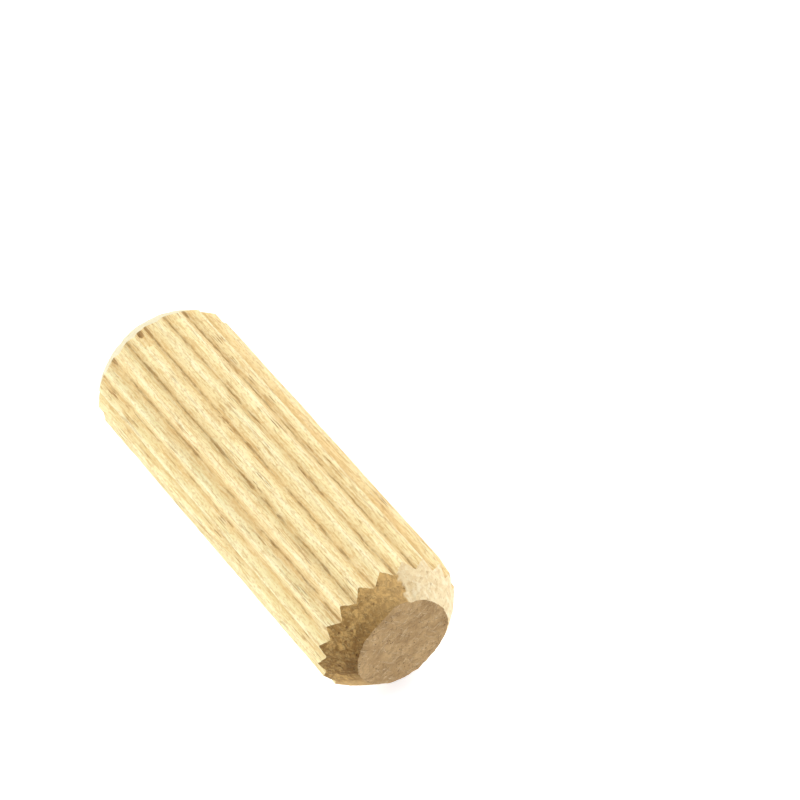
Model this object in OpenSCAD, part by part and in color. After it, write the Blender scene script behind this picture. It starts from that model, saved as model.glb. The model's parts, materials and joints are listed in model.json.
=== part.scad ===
// Fluted wooden dowel pin: a short wooden rod with straight pressed flutes and a chamfer on both sawn ends.
// Frame: the pin lies on its flutes along X, +Z is up, and the origin is under its middle, on the surface.

/* [Pin] */
// Diameter across the crests of the flutes
pin_d = 10; // [8:0.5:14]
// Length between the two sawn end faces
pin_len = 28.7; // [20:0.1:60]

/* [Flutes] */
// Number of flutes
flute_count = 20; // [14:1:26]
// Depth of a flute below the crests
flute_depth = 0.48; // [0.2:0.02:0.6]
// Width of the narrow land left along each crest
crest_land = 0.24; // [0.1:0.02:0.4]
// Radius of the rounded root of a flute
root_r = 0.12; // [0.05:0.01:0.2]

/* [Ends] */
// Diameter of the flat sawn face
end_face_d = 6.7; // [4:0.1:7.5]
// Length of the chamfer along the pin
chamfer_len = 1.9; // [1:0.1:4]

/* [Hidden] */
$fn = 96;

pin_r = pin_d / 2;
end_face_r = end_face_d / 2;
// Angle from one crest to the next
pitch = 360 / flute_count;
// Angle from the middle of a crest to the edge of its land
land_angle = asin(crest_land / 2 / pin_r);
// Edge of a flute's mouth, for a flute that is centred on +Y
mouth_angle = pitch / 2 - land_angle;
mouth = [pin_r * sin(mouth_angle), pin_r * cos(mouth_angle)];
// Centre of the round root
root = [0, pin_r - flute_depth + root_r];
// Foot of a flank, just inside the root so that the two cross cleanly with hardly a corner
foot_r = 0.97 * root_r;
flank = mouth - root;
foot_angle = atan2(flank.y, flank.x) - acos(foot_r / norm(flank));
foot = root + foot_r * [cos(foot_angle), sin(foot_angle)];
// End of the cut flank, carried on past the mouth's edge into the open
lip = mouth + 0.25 * (mouth - foot);
// How far a cutting shape reaches past what it cuts
over = 1;
// Gain in radius for each millimetre along the chamfer
chamfer_slope = (pin_r - end_face_r) / chamfer_len;
// Height of the pin's axis when the two lowest crests stand on the surface
rest_h = pin_r * cos(pitch / 2 - land_angle);

// Outline of one flute: straight flanks down to a round root
module flute_outline() {
    translate(root)
        circle(r = root_r);
    polygon([
        [-foot.x, foot.y],
        foot,
        lip,
        [lip.x, pin_r + over],
        [-lip.x, pin_r + over],
        [-lip.x, lip.y]
    ]);
}

// Cross-section of the pin, with a flute on -Y so that the crests on both sides of it carry the pin
module fluted_section() {
    difference() {
        circle(r = pin_r);
        for (i = [0 : flute_count - 1])
            rotate(180 + i * pitch)
                flute_outline();
    }
}

// Turned form that leaves the chamfered ends, along Z about the middle of the pin
module chamfer_form() {
    half_len = pin_len / 2;
    inner_z = half_len - chamfer_len - over;
    inner_r = pin_r + over * chamfer_slope;
    rotate_extrude()
        polygon([
            [0, -half_len],
            [end_face_r, -half_len],
            [inner_r, -inner_z],
            [inner_r, inner_z],
            [end_face_r, half_len],
            [0, half_len]
        ]);
}

// The whole pin, lying along X on its two lowest crests
module dowel_pin() {
    color("burlywood")
        translate([0, 0, rest_h])
            rotate([90, 0, 90])
                intersection() {
                    linear_extrude(pin_len + 2 * over, center = true)
                        fluted_section();
                    chamfer_form();
                }
}

dowel_pin();
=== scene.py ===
# %% [markdown]
# # A fluted dowel pin
#
# A dowel pin is a short rod of hardwood that is glued into two holes to hold two boards together.
# Straight flutes are pressed along it so that air and glue can leave the hole, and both sawn ends are
# chamfered so that it starts easily. The whole object is one piece of wood, so this lesson makes one
# mesh and gives it three finishes: long grain on the flutes, rough cut grain on the chamfers, and
# sawn end grain on the two faces.
#
# The imported model is loaded first. It fixes the size and the place of the pin.

# %% Load the imported model
import functools
import json
import math

import bmesh
import bpy
from mathutils import Matrix, Vector, noise


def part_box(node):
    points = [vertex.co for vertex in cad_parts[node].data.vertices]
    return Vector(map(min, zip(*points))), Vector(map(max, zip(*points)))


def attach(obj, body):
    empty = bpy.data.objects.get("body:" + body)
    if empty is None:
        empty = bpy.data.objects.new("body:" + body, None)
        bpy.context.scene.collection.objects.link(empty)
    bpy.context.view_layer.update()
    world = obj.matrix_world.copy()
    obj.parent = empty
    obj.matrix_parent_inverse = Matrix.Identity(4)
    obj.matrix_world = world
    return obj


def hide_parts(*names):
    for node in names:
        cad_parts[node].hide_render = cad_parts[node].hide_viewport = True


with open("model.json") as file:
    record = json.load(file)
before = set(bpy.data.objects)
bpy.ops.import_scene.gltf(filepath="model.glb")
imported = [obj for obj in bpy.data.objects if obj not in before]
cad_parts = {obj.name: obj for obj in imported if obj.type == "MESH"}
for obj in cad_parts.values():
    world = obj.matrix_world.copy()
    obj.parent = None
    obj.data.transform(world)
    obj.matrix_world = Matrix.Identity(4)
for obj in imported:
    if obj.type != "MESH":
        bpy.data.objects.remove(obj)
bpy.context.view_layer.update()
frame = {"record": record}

# %% [markdown]
# ## The sizes
#
# The radius across the crests comes from the record's shaft, and the length and the height of the
# axis come from the pin's box. The pin lies along X with one flute straight under its axis, so it
# stands on two crests. Angles are measured from straight up and grow towards the -Y side. Everything
# is in metres.

# %% Sizes
MM = 0.001
low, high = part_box("dowel_pin")
shaft = next(mount for mount in frame["record"]["mounts"] if mount["name"] == "shaft")
PIN_R = shaft["dims"]["r_mm"] * MM
AXIS_Z = (low.z + high.z) / 2
HALF_LEN = (high.x - low.x) / 2
CHAMFER_LEN = 1.9 * MM
END_FACE_R = 3.35 * MM
FLUTES = 20
PITCH = 2 * math.pi / FLUTES
FLUTE_DEPTH = 0.48 * MM
NEAR, FAR = 1, -1
print("radius, half length, axis height, mm:", [round(v / MM, 3) for v in (PIN_R, HALF_LEN, AXIS_Z)])

# %% [markdown]
# ## The accidents of the wood
#
# The flutes are pressed by toothed rollers into wood that is hard in one place and soft in the next,
# so no two are alike. Each has its own depth, drifts a little to one side, and is torn where the
# fibres gave way. Blender's noise module always gives the same value for the same point, so it is a
# repeatable source of such accidents. A point that is squeezed along the pin gives a pattern that
# runs with the grain.

# %% Helpers for the accidents
def wander(a, b, c=0.37):
    """Smooth noise, from about -0.7 to 0.7, that depends only on the place."""
    return noise.noise(Vector((a + 0.31, b + 0.73, c + 0.19)))


def clamp01(value):
    """The value, held between 0 and 1."""
    return min(max(value, 0.0), 1.0)


def ease(start, end, value):
    """0 before start, 1 after end, and a smooth step between them."""
    t = clamp01((value - start) / (end - start))
    return t * t * (3 - 2 * t)


def hump(value, centre, half_width):
    """1 at the centre, falling smoothly to 0 at half_width on both sides."""
    return 1 - ease(0, half_width, abs(value - centre))


def turn(angle, centre_deg):
    """Degrees from a direction on the section to an angle, between -180 and 180."""
    return (math.degrees(angle) - centre_deg + 180) % 360 - 180


# %% [markdown]
# ## The section
#
# A flute is a wide V with a small round root, and the crest between two flutes is slightly blunt.
# `groove` says how deep into a flute a point is, from 0 on a crest to 1 at the root. The mesh keeps
# it as an attribute, because the bruised fibres and the dust that darken the flutes follow it, and so
# do the painted shade in the flutes and the painted highlight on the crests. The rollers did not bite
# evenly, so the flutes on top stand a few degrees off the even spacing that the lowest ones keep.

# %% The section of the pin
# Roundness of a root in half pitches, the share of the depth that is blunt, and the shift in pitches
ROOT_ROUND = 0.16
CREST_BLUNT = 0.20
UNEVEN = 0.185
UNEVEN_TOWARDS = math.radians(35)
# Depths below the crests, in mm
TORN_LEDGE = 0.36
PIT_DEPTH = 0.26
BITE_DEPTH = 0.10
WORN_SHOULDER = 0.18


def groove(angle, x):
    """How deep into a flute the surface is, 0 on a crest and 1 at a root, and the flute's number."""
    along = x / MM
    turned = angle / PITCH - UNEVEN * (1 + math.cos(angle - UNEVEN_TOWARDS)) / 2
    number = round(turned)
    away = abs(turned - number) * 2
    drift = 0.12 * wander(along * 0.07, number * 3.7) + 0.03 * wander(along * 0.45, number * 2.9, 4.0)
    across = (turned - number) * 2 + drift * (1 - away)
    slope = math.hypot(across, ROOT_ROUND) - ROOT_ROUND
    depth = clamp01(1 - slope / (math.hypot(1, ROOT_ROUND) - ROOT_ROUND))
    if depth < CREST_BLUNT:
        depth = depth * depth / CREST_BLUNT * 0.5 + depth * 0.5
    return depth, number


def bite(depth, number, x):
    """The small dark bite where the rollers lifted out at the far end of a flute, 0 to 1."""
    along = (x - FAR * HALF_LEN) / MM
    size = clamp01(0.6 + 1.1 * wander(number * 3.3, 5.0))
    size *= 1 - 0.7 * ease(1.4, 2.8, number)
    return size * ease(0.62, 0.95, depth) * ease(2.25, 1.40, along)


def torn_step(angle, x):
    """A step that is torn out of one crest at the far end, 0 to 1."""
    along = (x - FAR * HALF_LEN) / MM
    ragged_end = 0.25 * wander(angle * 40, 9.0)
    return ease(3.10, 2.98, along + ragged_end) * hump(turn(angle, 8.8), 0, 4.6) ** 0.25


def torn_pit(angle, x):
    """The deep pit where the torn step began, 0 to 1."""
    along = (x - FAR * HALF_LEN) / MM
    return hump(turn(angle, 9.4), 0, 3.4) * hump(along, 1.66, 0.42)


def shoulder(angle, x):
    """How far the crests are worn down next to the burnished side of the near chamfer, in mm."""
    return WORN_SHOULDER * ease(3.3, 1.5, (HALF_LEN - x) / MM) * hump(turn(angle, -85), 0, 62)


def flute_radius(angle, x):
    """Radius of the fluted surface at an angle and a place along the pin."""
    along, side = x / MM, angle * PIN_R / MM
    depth, number = groove(angle, x)
    # Each flute has its own depth and an uneven root, and is shallower at the near end and on the left.
    own = 1 + 0.16 * wander(number * 5.1, 2.0) + 0.20 * wander(along * 0.16, number * 1.3, 7.0)
    own += depth * 0.16 * wander(along * 0.9, number * 4.1, 11.0)
    own += depth * 0.12 * wander(along * 2.4, number * 6.3, 13.0)
    own *= (1 - 0.15 * ease(8, 13, along)) * (1 - 0.26 * hump(turn(angle, 98), 0, 48))
    sunk = FLUTE_DEPTH / MM * depth * own
    sunk += (TORN_LEDGE - sunk) * torn_step(angle, x) + PIT_DEPTH * torn_pit(angle, x)
    # Fine fibres stand out everywhere, and the crests dip here and there.
    fibres = 0.040 * wander(along * 0.30, side * 3.1, 17.0) + 0.030 * wander(along * 0.9, side * 7.0, 19.0)
    dip = 0.04 * (0.5 + wander(along * 0.22, number * 2.2, 23.0)) * (1 - depth)
    lost = abs(fibres) + max(dip, 0) + BITE_DEPTH * bite(depth, number, x) + shoulder(angle, x)
    return PIN_R - (sunk + lost) * MM


AROUND = [math.radians(degrees) for degrees in range(360)]
middle_section = [flute_radius(angle, 0) / MM for angle in AROUND]
print("largest radius in the middle, mm:", round(max(middle_section), 2))
print("smallest radius in the middle, mm:", round(min(middle_section), 2))

# %% [markdown]
# ## The ends
#
# A cutter turned each chamfer after the flutes were pressed, so the cone runs out in a row of teeth:
# the cut starts early on a crest and late in a flute. On the near end the cutter left the sawn face a
# little off centre, with a corner near the top and a flatter place beside it.

# %% Outline of the sawn faces, and where the chamfers run out
# Wood left on by the cutter at one side of the far end
SPARED = 0.24 * MM


@functools.cache
def face_radius(angle, end):
    """Radius of the sawn face's edge at an angle."""
    y, z = math.sin(angle), math.cos(angle)
    ragged = 0.020 * wander(y * 5, z * 5, 31.0 * end) + 0.012 * wander(y * 17, z * 17, 37.0 * end)
    if end == FAR:
        return END_FACE_R * (1 + ragged + 0.05 * hump(turn(angle, 88), 0, 65))
    corner = 0.10 * hump(turn(angle, -4), 0, 20)
    flat_place = 0.085 * hump(turn(angle, -70), 0, 55)
    under = 0.035 * hump(turn(angle, 172), 0, 45)
    return END_FACE_R * (0.99 + ragged + corner + under - flat_place)


def cone_radius(x, angle, end):
    """Radius of the cone that the cutter turned. At the far end it cut one side a little less."""
    spared = SPARED * hump(turn(angle, 88), 0, 65) if end == FAR else 0
    return END_FACE_R + spared + (HALF_LEN - end * x) * (PIN_R - END_FACE_R) / CHAMFER_LEN


@functools.cache
def runout(angle, end):
    """Place along the pin where the cone cuts the fluted surface, found by halving the stretch."""
    inner, outer = HALF_LEN - CHAMFER_LEN * 1.1, HALF_LEN
    for _ in range(20):
        middle = (inner + outer) / 2
        if cone_radius(end * middle, angle, end) > flute_radius(angle, end * middle):
            inner = middle
        else:
            outer = middle
    return end * inner


teeth = [(HALF_LEN - runout(angle, NEAR)) / MM for angle in AROUND]
print("teeth run from, to, mm from the end:", round(max(teeth), 2), round(min(teeth), 2))

# %% [markdown]
# ## Burnished wood
#
# A cutter that runs with the grain leaves the fibres whole, and the cut stays nearly as pale as the
# flutes. One that runs against it tears them, and the torn ends look dark. On the near end only one
# side of the chamfer is pale, and it meets the dark side along a sharp line. On the far end the whole
# upper side is pale.

# %% How pale a chamfer is
def burnish(angle, x):
    """0 where the chamfer is torn and dark, 1 where it is burnished and pale."""
    along = abs(x) / MM
    ragged = 6 * wander(along * 1.6, angle * 3.0, 51.0) + 3 * wander(along * 5.0, angle * 11.0, 53.0)
    if x < 0:
        return 1 - ease(96, 112, abs(turn(angle, 10)) + ragged)
    side = turn(angle, -15) + ragged
    pale = ease(1.0, -1.5, side) * (0.76 + 0.24 * ease(-6, -28, side))
    partly = max(0.32 * ease(95, 0, side), 0.34 * hump(side, 138, 36))
    return max(partly, pale) * ease(-165, -150, side)


print("burnish at the top of both ends:", [round(burnish(0, end * HALF_LEN), 2) for end in (NEAR, FAR)])

# %% [markdown]
# ## The mesh
#
# The mesh is lofted with one operator. It starts as a small disc in the middle of the far sawn face,
# and the edges of its rim are extruded again and again: across the face, down the far chamfer, along
# the flutes, up the near chamfer and back to the middle of the near face. After each extrusion the
# functions below shape the new ring. One ring lies exactly on the teeth at each end, so the edge
# between the flutes and the chamfer is crisp without a finer mesh.

# %% Points of the three surfaces
def around(angle, radius, x):
    """A point at an angle and a radius from the pin's axis."""
    return Vector((x, -radius * math.sin(angle), AXIS_Z + radius * math.cos(angle)))


def face_point(end, share, angle):
    """A point of a sawn face, with share 0 in the middle and 1 at the edge."""
    point = around(angle, face_radius(angle, end) * share, 0)
    y, z = point.y / MM, point.z / MM
    saw = 0.030 * wander(y * 0.5, z * 0.7, 41.0 * end) + 0.014 * wander(y * 3, z * 3, 43.0)
    crumbled = ease(0.90, 1.0, share) * (0.05 + 0.06 * wander(y * 2.5, z * 2.5, 47.0))
    point.x = end * (HALF_LEN - (abs(saw) + max(crumbled, 0)) * MM)
    return point


# How far a pale chamfer bulges, in mm
CROWN = 0.16


def chamfer_point(end, share, angle):
    """A point of a chamfer, with share 0 on the teeth and 1 at the face. It is crowned where it is pale."""
    start = runout(angle, end)
    edge = face_point(end, 1.0, angle)
    tooth = around(angle, flute_radius(angle, start), start)
    point = tooth.lerp(edge, share)
    x, y, z = point / MM
    rough = 0.050 * wander(x * 2.2, y * 2.2, z * 2.2) + 0.040 * wander(x * 5.5, y * 5.5, z * 5.5)
    pale = burnish(angle, point.x)
    middle = math.sin(math.pi * clamp01(share))
    hollow = (abs(rough) * (1 - 0.6 * pale) + 0.01) * math.sqrt(middle) - CROWN * pale * middle
    outward = Vector((0, point.y, point.z - AXIS_Z)).normalized()
    return point - outward * hollow * MM


def flute_point(share, angle):
    """A point of the flutes, with share 0 on the far teeth and 1 on the near ones."""
    far, near = runout(angle, FAR), runout(angle, NEAR)
    x = far + (near - far) * share
    return around(angle, flute_radius(angle, x), x)


# %% The order of the rings
SEGMENTS = FLUTES * 20
FLUTE_RINGS, CHAMFER_RINGS, FACE_RINGS = 150, 20, 20
LONG_GRAIN, CHAMFERED, SAWN = 0, 1, 2


def shares(count, reverse=False):
    """count steps from 0 to 1 without the first one, or from 1 to 0."""
    steps = [(i + 1) / count for i in range(count)]
    return [1 - step for step in steps] if reverse else steps


rings = [(SAWN, functools.partial(face_point, FAR, s)) for s in shares(FACE_RINGS)[1:]]
rings += [(CHAMFERED, functools.partial(chamfer_point, FAR, s)) for s in shares(CHAMFER_RINGS, True)]
rings += [(LONG_GRAIN, functools.partial(flute_point, s)) for s in shares(FLUTE_RINGS)]
rings += [(CHAMFERED, functools.partial(chamfer_point, NEAR, s)) for s in shares(CHAMFER_RINGS)]
rings += [(SAWN, functools.partial(face_point, NEAR, s)) for s in shares(FACE_RINGS, True)[:-1]]
print("rings to extrude:", len(rings))

# %% Loft the pin
pin_bm = bmesh.new()
groove_layer = pin_bm.verts.layers.float.new("groove")
burnish_layer = pin_bm.verts.layers.float.new("burnish")
disc = bmesh.ops.create_circle(pin_bm, cap_ends=True, cap_tris=True, segments=SEGMENTS, radius=MM)["verts"]
to_pin = Matrix.Translation((0, 0, AXIS_Z)) @ Matrix.Rotation(math.radians(-90), 4, "Y")
bmesh.ops.transform(pin_bm, matrix=to_pin, verts=disc)
for face in pin_bm.faces:
    face.material_index = SAWN


def shape_vertex(vert, point):
    """Moves a vertex of the newest ring to its place, at the angle that it already has."""
    step = 2 * math.pi / SEGMENTS
    angle = round(math.atan2(-vert.co.y, vert.co.z - AXIS_Z) / step) * step
    vert.co = point(angle)
    depth, number = groove(angle, vert.co.x)
    # The groove attribute, which drives the painted shade and highlight of the flutes, is a little weaker
    # on the left, and the accidents at the far end add to it.
    shade = depth * (0.99 - 0.06 * hump(turn(angle, 90), 0, 60))
    shade += 0.13 * bite(depth, number, vert.co.x)
    shade += (0.92 - shade) * torn_step(angle, vert.co.x)
    vert[groove_layer] = shade + 0.50 * torn_pit(angle, vert.co.x)
    vert[burnish_layer] = burnish(angle, vert.co.x)


centre = min(disc, key=lambda vert: (vert.co - Vector((0, 0, AXIS_Z))).length)
for vert in disc:
    if vert is not centre:
        shape_vertex(vert, functools.partial(face_point, FAR, 1 / FACE_RINGS))
centre.co = around(0, 0, -HALF_LEN)
rim = [edge for edge in pin_bm.edges if centre not in edge.verts]
finish_before = SAWN
for finish, point in rings:
    grown = bmesh.ops.extrude_edge_only(pin_bm, edges=rim)["geom"]
    if finish != finish_before:
        for edge in rim:
            edge.smooth = False
    rim = [part for part in grown if isinstance(part, bmesh.types.BMEdge)]
    for part in grown:
        if isinstance(part, bmesh.types.BMVert):
            shape_vertex(part, point)
        elif isinstance(part, bmesh.types.BMFace):
            part.material_index = finish
    finish_before = finish
last = list({vert for edge in rim for vert in edge.verts})
bmesh.ops.pointmerge(pin_bm, verts=last, merge_co=around(0, 0, HALF_LEN))
bmesh.ops.recalc_face_normals(pin_bm, faces=pin_bm.faces)
for face in pin_bm.faces:
    face.smooth = True
print("triangles:", sum(len(face.verts) - 2 for face in pin_bm.faces))
print("open edges:", sum(not edge.is_manifold for edge in pin_bm.edges))

# %% Put the mesh in the scene
pin_mesh = bpy.data.meshes.new("wood_pin")
pin_bm.to_mesh(pin_mesh)
pin_bm.free()
pin = bpy.data.objects.new("wood_pin", pin_mesh)
bpy.context.scene.collection.objects.link(pin)

# %% [markdown]
# ## Shader sums in Python
#
# A material is a sum of patterns, and sums are easier to read as Python than as boxes and wires.
# `Signal` wraps one socket of a node tree, and its operators add Math nodes, so `1 - mask * 0.5`
# builds itself. Every other node comes from `add_node`: it takes the node's type, its settings, which
# are set first, and what goes into its sockets.

# %% A socket with operators
class Signal:
    """A socket of a node tree that can be added, subtracted and multiplied."""

    def __init__(self, tree, socket):
        self.tree, self.socket = tree, socket

    def __add__(self, other):
        return self.sum_with("ADD", self, other)

    def __radd__(self, other):
        return self.sum_with("ADD", other, self)

    def __sub__(self, other):
        return self.sum_with("SUBTRACT", self, other)

    def __rsub__(self, other):
        return self.sum_with("SUBTRACT", other, self)

    def __mul__(self, other):
        return self.sum_with("MULTIPLY", self, other)

    def __rmul__(self, other):
        return self.sum_with("MULTIPLY", other, self)

    def sum_with(self, operation, first, second):
        return add_node(self.tree, "ShaderNodeMath", {"operation": operation}, {0: first, 1: second})


def add_node(tree, kind, settings=None, sockets=None, output=0):
    """Adds one node: settings first, then numbers or Signals into its sockets. Gives back one output."""
    node = tree.nodes.new(kind)
    for key, value in (settings or {}).items():
        setattr(node, key, value)
    for key, value in (sockets or {}).items():
        if isinstance(value, Signal):
            tree.links.new(value.socket, node.inputs[key])
        else:
            node.inputs[key].default_value = value
    return Signal(tree, node.outputs[output])


# %% The patterns that the three finishes share
# Places of the colour sockets among those of a Mix node
MIX_A, MIX_B, MIX_RESULT = 6, 7, 2


def srgb(red, green, blue):
    """A colour as it is picked from a swatch, 0 to 255, made linear for the shader."""
    linear = [c / 12.92 if c <= 0.04045 else ((c + 0.055) / 1.055) ** 2.4
              for c in (red / 255, green / 255, blue / 255)]
    return (*linear, 1.0)


def mix(factor, first, second):
    """Two colours mixed by a signal."""
    return add_node(factor.tree, "ShaderNodeMix", {"data_type": "RGBA"},
                    {0: factor, MIX_A: first, MIX_B: second}, MIX_RESULT)


def stretch(place, x, y, z):
    """The place multiplied side by side: a small x gives a pattern that is long along the pin."""
    return add_node(place.tree, "ShaderNodeVectorMath", {"operation": "MULTIPLY"}, {0: place, 1: (x, y, z)})


def shift(place, x, y, z):
    """The place moved."""
    return add_node(place.tree, "ShaderNodeVectorMath", {"operation": "ADD"}, {0: place, 1: (x, y, z)})


def length(place):
    """Distance of the place from its origin."""
    return add_node(place.tree, "ShaderNodeVectorMath", {"operation": "LENGTH"}, {0: place}, "Value")


def cloud(place, scale=1.0, detail=2.0, roughness=0.5, distortion=0.0):
    """Noise from 0 to 1 around a place."""
    return add_node(place.tree, "ShaderNodeTexNoise", {"noise_dimensions": "3D"},
                    {"Vector": place, "Scale": scale, "Detail": detail, "Roughness": roughness,
                     "Distortion": distortion}, "Fac")


def specks(place, scale=1.0):
    """Distance to the nearest of many scattered points."""
    return add_node(place.tree, "ShaderNodeTexVoronoi", {"feature": "F1"},
                    {"Vector": place, "Scale": scale}, "Distance")


def rise(signal, start, end):
    """0 below start, 1 above end, smooth between. With start above end it falls instead."""
    flip = start > end
    low_end, high_end = min(start, end), max(start, end)
    return add_node(signal.tree, "ShaderNodeMapRange", {"interpolation_type": "SMOOTHSTEP"},
                    {0: signal, 1: low_end, 2: high_end, 3: float(flip), 4: float(not flip)})


def bump(height, distance, strength):
    """A normal from a height, where a height of 1 stands distance metres proud."""
    return add_node(height.tree, "ShaderNodeBump", None,
                    {"Height": height, "Distance": distance, "Strength": strength})


def wood_material(name):
    """An empty wood material, its node tree, and the place on the pin in millimetres from its middle."""
    material = bpy.data.materials.new(name)
    material.use_nodes = True
    tree = material.node_tree
    spot = add_node(tree, "ShaderNodeTexCoord", output="Object")
    spot = shift(spot, 0, 0, -AXIS_Z)
    return material, tree, stretch(spot, 1 / MM, 1 / MM, 1 / MM)


def finish_with(material, colour, roughness, normal, gloss):
    """Feeds the material's shader."""
    shader = material.node_tree.nodes["Principled BSDF"]
    for key, signal in (("Base Color", colour), ("Roughness", roughness), ("Normal", normal)):
        material.node_tree.links.new(signal.socket, shader.inputs[key])
    shader.inputs["Specular IOR Level"].default_value = gloss
    return material


# %% [markdown]
# ## Growth rings
#
# The pin was cut from a board, so its growth rings are arcs about a pith that lies well outside it.
# The same arcs run through all three finishes: they are long stripes on the flutes and curved lines
# on the sawn faces.

# %% Growth rings through the whole pin
PITH_Y, PITH_Z = 13.0, -11.0


def growth(place):
    """Early and late wood, 0 to 1, as rings about the pith with a slow wobble along the pin."""
    across = stretch(shift(place, 0, -PITH_Y, -PITH_Z), 0, 1, 1)
    wobble = cloud(stretch(place, 0.05, 0.25, 0.25), 1.0, 2.0)
    rings_mm = length(across) + wobble * 1.6
    return add_node(place.tree, "ShaderNodeTexNoise", {"noise_dimensions": "1D"},
                    {"W": rings_mm, "Scale": 1.1, "Detail": 2.5, "Roughness": 0.6}, "Fac")


# %% [markdown]
# ## Long grain
#
# The flutes show the wood from the side: pale straw, with fine fibres that run along the pin, short
# dark pores in loose groups, and a warm darkening in the flutes that is partly bruised fibres and
# partly painted shade. The crests get a painted highlight, and the straw is tinted by painted side
# light, warmer on the +Y side and paler on the -Y side. The darkest lines at the very root are painted
# shade in the crease together with torn fibres, so the groove attribute is broken up with noise before
# it darkens anything.

# %% Long grain material
def long_grain():
    """Side of the pin: fibres, pores and darkened flutes."""
    material, tree, place = wood_material("long_grain")
    depth = add_node(tree, "ShaderNodeAttribute", {"attribute_name": "groove"}, output="Fac")
    streaks = cloud(stretch(place, 0.40, 4.8, 4.8), 1.0, 4.0, 0.62)
    fibres = cloud(stretch(place, 0.8, 8.5, 8.5), 1.0, 3.0, 0.65)
    crinkle = cloud(stretch(place, 3.6, 8.0, 8.0), 1.0, 2.0)
    patches = cloud(stretch(place, 0.24, 0.65, 0.65), 1.0, 3.0, 0.55)
    breaks = cloud(stretch(place, 0.7, 3.5, 3.5), 1.0, 3.0, 0.6)
    loose = rise(cloud(stretch(place, 0.26, 0.70, 0.70), 1.0, 2.0), 0.46, 0.64)
    pores = rise(specks(stretch(place, 0.50, 7.6, 7.6)), 0.30, 0.14) * loose
    hairs = rise(cloud(stretch(place, 0.36, 8.5, 8.5), 1.0, 2.0), 0.56, 0.70) * (0.3 + loose * 0.7)

    # Painted side light: by its place across the pin, the straw is tinted warmer on the +Y side and paler
    # on the -Y side.
    painted_side_light = add_node(tree, "ShaderNodeSeparateXYZ", None, {0: place}, "Y") + (patches - 0.5) * 4.0
    straw = mix(rise(growth(place), 0.30, 0.72), srgb(246, 234, 182), srgb(243, 223, 169))
    straw = mix(rise(painted_side_light, 2.0, 5.0) * 0.72, straw, srgb(250, 217, 154))
    straw = mix(rise(painted_side_light, -2.8, -4.8) * 0.60, straw, srgb(232, 222, 168))
    straw = mix(rise(patches, 0.46, 0.68) * 0.24, straw, srgb(238, 211, 160))
    # Painted highlight: the crests are painted paler than the flanks.
    straw = mix(rise(depth, 0.35, 0.0) * 0.52, straw, srgb(253, 247, 206))
    straw = mix(rise(streaks, 0.50, 0.72) * 0.30, straw, srgb(222, 188, 126))
    straw = mix(rise(streaks, 0.48, 0.30) * 0.46, straw, srgb(253, 246, 208))
    straw = mix(rise(fibres, 0.52, 0.60) * 0.56, straw, srgb(214, 176, 114))
    straw = mix(rise(fibres, 0.46, 0.30) * 0.40, straw, srgb(254, 247, 212))
    straw = mix(rise(crinkle, 0.52, 0.64) * 0.46, straw, srgb(212, 176, 118))
    # Partly bruised fibres and partly painted shade: the flutes darken towards their roots.
    bruise_and_painted_shade = rise(depth + (streaks - 0.5) * 0.4, 0.38, 1.05)
    straw = mix(bruise_and_painted_shade * 0.46, straw, srgb(208, 168, 104))
    # Painted shade along the roots of the flutes, together with the dark torn wood of the step and pit at
    # the far end.
    torn = rise(depth + (breaks - 0.54) * 0.26, 0.935, 1.015)
    straw = mix(torn * 0.64, straw, srgb(146, 102, 48))
    straw = mix(hairs * 0.52, straw, srgb(184, 132, 66))
    colour = mix(pores * 0.62, straw, srgb(154, 100, 40))

    height = streaks * 0.6 + fibres * 0.5 + crinkle * 0.25 - pores * 0.35 - torn * 0.6 - hairs * 0.2
    return finish_with(material, colour, 0.60 + fibres * 0.22, bump(height, 0.11 * MM, 0.9), 0.25)


# %% [markdown]
# ## Cut grain of the chamfers
#
# A chamfer cuts the fibres at a slant. Where they are torn, their open ends drink in the light, so
# the wood is much darker than in the flutes, and it is rough and mottled. Where the cutter burnished
# it the wood is cream, with fine lines that cross. The burnish attribute chooses between the two.

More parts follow.
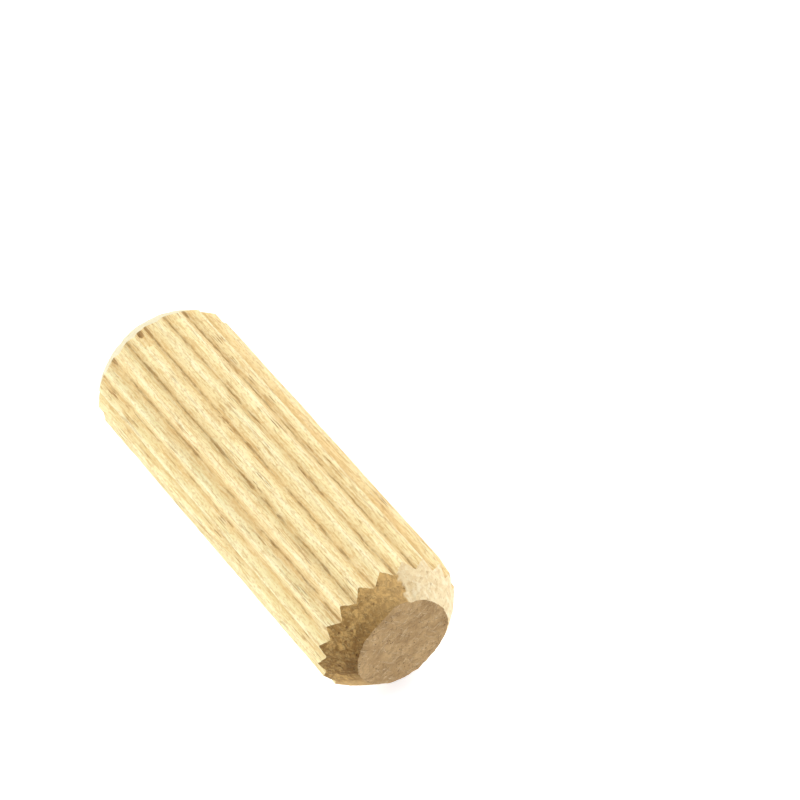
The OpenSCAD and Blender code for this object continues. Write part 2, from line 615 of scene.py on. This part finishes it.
# %% Chamfer material
def cut_grain():
    """Chamfers: dark torn end grain and pale burnished grain."""
    material, tree, place = wood_material("cut_grain")
    burnished = add_node(tree, "ShaderNodeAttribute", {"attribute_name": "burnish"}, output="Fac")
    clumps = cloud(place, 2.4, 4.0, 0.65, 0.6)
    inner = rise(length(stretch(place, 0, 1, 1)) + (clumps - 0.5) * 1.2, 4.3, 3.4)
    crumbs = cloud(place, 4.2, 3.0, 0.6)
    tufts = rise(cloud(stretch(place, 2.2, 4.5, 4.5), 1.0, 3.0, 0.65), 0.50, 0.68)
    pits = rise(specks(place, 2.6) + (crumbs - 0.5) * 0.5, 0.28, 0.06)
    pits = pits * rise(cloud(place, 0.9, 2.0), 0.42, 0.60)
    torn = mix(rise(clumps, 0.41, 0.59), srgb(146, 110, 58), srgb(210, 170, 104))
    torn = mix(rise(crumbs, 0.42, 0.64) * 0.60, torn, srgb(118, 82, 40))
    torn = mix(rise(growth(place), 0.35, 0.7) * 0.20, torn, srgb(200, 154, 90))
    torn = mix(tufts * 0.62, torn, srgb(226, 190, 126))
    torn = mix(inner * 0.58, torn, srgb(116, 82, 36))
    torn = mix(pits * 0.60, torn, srgb(104, 60, 26))
    torn = mix(rise(burnished, 0.0, 0.45) * 0.50, torn, srgb(230, 188, 120))
    torn = mix(rise(burnished, 0.05, 0.0) * 0.34, torn, srgb(112, 82, 42))

    lines = cloud(stretch(place, 5.0, 1.1, 5.0), 1.0, 2.0)
    crossing = cloud(stretch(place, 5.0, 5.0, 1.1), 1.0, 2.0)
    cream = mix(rise(clumps, 0.38, 0.66) * 0.7, srgb(244, 226, 183), srgb(230, 203, 154))
    cream = mix(rise(lines, 0.52, 0.64) * 0.40, cream, srgb(210, 178, 130))
    cream = mix(rise(crossing, 0.52, 0.64) * 0.55, cream, srgb(252, 240, 206))
    cream = mix(pits * 0.45, cream, srgb(196, 152, 98))
    far_side = add_node(tree, "ShaderNodeSeparateXYZ", None, {0: place}, "X")
    cream = mix(rise(far_side, 0.0, -10.0) * 0.75, cream, srgb(216, 210, 180))

    colour = mix(rise(burnished, 0.20, 1.0), torn, cream)
    rough = clumps * 0.7 + crumbs * 0.5 + tufts * 0.6 - pits * 1.0
    fine = (lines + crossing) * 0.35 - pits * 0.4
    height = rough * (1 - burnished) + fine * burnished
    return finish_with(material, colour, 0.82 - burnished * 0.16, bump(height, 0.14 * MM, 0.9), 0.2)


# %% [markdown]
# ## Sawn end grain
#
# The saw left the two faces flatter and greyer than the chamfers. The teeth dragged loose fibres over
# the surface in short scuffs that run every way, and between them the vessels show as tiny dark
# holes.

# %% Sawn face material
def scuffs(place, degrees, offset):
    """Short scratches across a face, turned by an angle. The offset gives each set its own pattern."""
    rotation = (math.radians(degrees), 0, 0)
    turned = add_node(place.tree, "ShaderNodeMapping", {"vector_type": "POINT"},
                      {"Vector": place, "Location": (offset, 0, 0), "Rotation": rotation})
    return rise(cloud(stretch(turned, 1.0, 6.0, 1.3), 1.0, 3.0, 0.6, 0.5), 0.54, 0.72)


def sawn_grain():
    """Sawn faces: taupe end grain with scuffs and small pits."""
    material, tree, place = wood_material("sawn_grain")
    haze = cloud(place, 0.75, 4.0, 0.6)
    suede = cloud(place, 5.5, 3.0, 0.65)
    pale_scuffs = scuffs(place, 62, 3.0) * 0.9 + scuffs(place, -35, 11.0)
    dark_scuffs = scuffs(place, 100, 23.0) + scuffs(place, 15, 31.0) * 0.8
    pits = rise(specks(place, 3.6), 0.24, 0.09) * rise(cloud(place, 1.1, 2.0), 0.46, 0.60)
    taupe = mix(rise(haze, 0.36, 0.66), srgb(175, 142, 97), srgb(207, 173, 124))
    taupe = mix(rise(growth(place), 0.38, 0.68) * 0.30, taupe, srgb(176, 141, 94))
    taupe = mix(rise(suede, 0.42, 0.68) * 0.50, taupe, srgb(168, 136, 94))
    taupe = mix(pale_scuffs * 0.58, taupe, srgb(236, 208, 164))
    taupe = mix(dark_scuffs * 0.54, taupe, srgb(144, 112, 72))
    taupe = mix(pits * 0.80, taupe, srgb(104, 72, 42))
    height = pale_scuffs * 0.5 - dark_scuffs * 0.4 + suede * 0.5 + haze * 0.3 - pits * 0.9
    return finish_with(material, taupe, 0.74 + haze * 0.12, bump(height, 0.08 * MM, 0.9), 0.2)


# %% Dress the pin
for material in (long_grain(), cut_grain(), sawn_grain()):
    pin_mesh.materials.append(material)
    print(material.name, "nodes:", len(material.node_tree.nodes))

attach(pin, "root")
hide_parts("dowel_pin")

# %% [markdown]
# ## The floor, the lights and the camera
#
# The floor is a plain white sheet that is lit a little from below, so that it stays white up to the
# horizon. Two large soft lights stand on the left and the right behind the pin, a third hangs over
# it, and the room around them glows softly. The crests catch light from all sides, the flutes less of
# it, and the end that faces the camera lies in the shade. Beyond the floor the room is white. The
# camera looks down the pin from above with a long lens, and leans a little to one side.

# %% Floor
FLOOR_HALF_SIZE = 3.0
NEAR_THE_PIN, FAR_AWAY = 0.06, 0.25
SOFT_GLOW, FULL_GLOW = (0.66, 0.67, 0.70, 1), (1.0, 1.0, 1.0, 1)
floor_bm = bmesh.new()
bmesh.ops.create_grid(floor_bm, x_segments=1, y_segments=1, size=FLOOR_HALF_SIZE)
floor_mesh = bpy.data.meshes.new("floor")
floor_bm.to_mesh(floor_mesh)
floor_bm.free()
floor = bpy.data.objects.new("floor", floor_mesh)
bpy.context.scene.collection.objects.link(floor)
floor_material = bpy.data.materials.new("white_sheet")
floor_material.use_nodes = True
paint = floor_material.node_tree.nodes["Principled BSDF"].inputs
paint["Base Color"].default_value = (0.70, 0.70, 0.70, 1)
paint["Emission Strength"].default_value = 1.0
spot = add_node(floor_material.node_tree, "ShaderNodeTexCoord", output="Object")
underlight = mix(rise(length(spot), NEAR_THE_PIN, FAR_AWAY), SOFT_GLOW, FULL_GLOW)
floor_material.node_tree.links.new(underlight.socket, paint["Emission Color"])
paint["Roughness"].default_value = 0.9
paint["Specular IOR Level"].default_value = 0.1
floor_mesh.materials.append(floor_material)


# %% Lights
def soft_light(name, position, size, watts, colour=(1, 1, 1)):
    """A square area light that faces the middle of the pin."""
    data = bpy.data.lights.new(name, "AREA")
    data.size, data.energy, data.color = size, watts, colour
    light = bpy.data.objects.new(name, data)
    light.location = position
    towards_pin = Vector((0, 0, AXIS_Z)) - Vector(position)
    light.rotation_euler = towards_pin.to_track_quat("-Z", "Y").to_euler()
    bpy.context.scene.collection.objects.link(light)


soft_light("left_light", (-0.36, -0.42, 0.34), 0.34, 2.3, (0.99, 1.0, 0.985))
soft_light("right_light", (0.06, 0.52, 0.32), 0.34, 2.1, (1.0, 0.98, 0.96))
soft_light("top_light", (-0.16, -0.10, 0.6), 0.45, 1.6)
world = bpy.data.worlds.new("soft_room")
world.use_nodes = True
room = world.node_tree
seen = add_node(room, "ShaderNodeLightPath", output="Is Camera Ray")
ROOM_GLOW = 0.34
glow = ROOM_GLOW + seen * (1 - ROOM_GLOW)
room.links.new(glow.socket, room.nodes["Background"].inputs["Strength"])
room.nodes["Background"].inputs["Color"].default_value = (1.0, 1.0, 1.0, 1)
bpy.context.scene.world = world
bpy.context.scene.view_settings.view_transform = "Standard"

# %% Camera
AIM = Vector((-4.12, 11.51, 0.0)) * MM
AZIMUTH, ELEVATION, LEAN = math.radians(67.9), math.radians(52.4), math.radians(15.9)
DISTANCE = 241.5 * MM
camera_data = bpy.data.cameras.new("camera")
camera_data.lens = 169.2
camera_data.sensor_width = 36.0
camera_data.clip_start, camera_data.clip_end = 0.01, 10.0
camera = bpy.data.objects.new("camera", camera_data)
away = Vector((math.sin(AZIMUTH) * math.cos(ELEVATION), -math.cos(AZIMUTH) * math.cos(ELEVATION),
               math.sin(ELEVATION)))
facing = (-away).to_track_quat("-Z", "Y").to_matrix().to_4x4() @ Matrix.Rotation(-LEAN, 4, "Z")
camera.matrix_world = Matrix.Translation(AIM + away * DISTANCE) @ facing
bpy.context.scene.collection.objects.link(camera)
bpy.context.scene.camera = camera
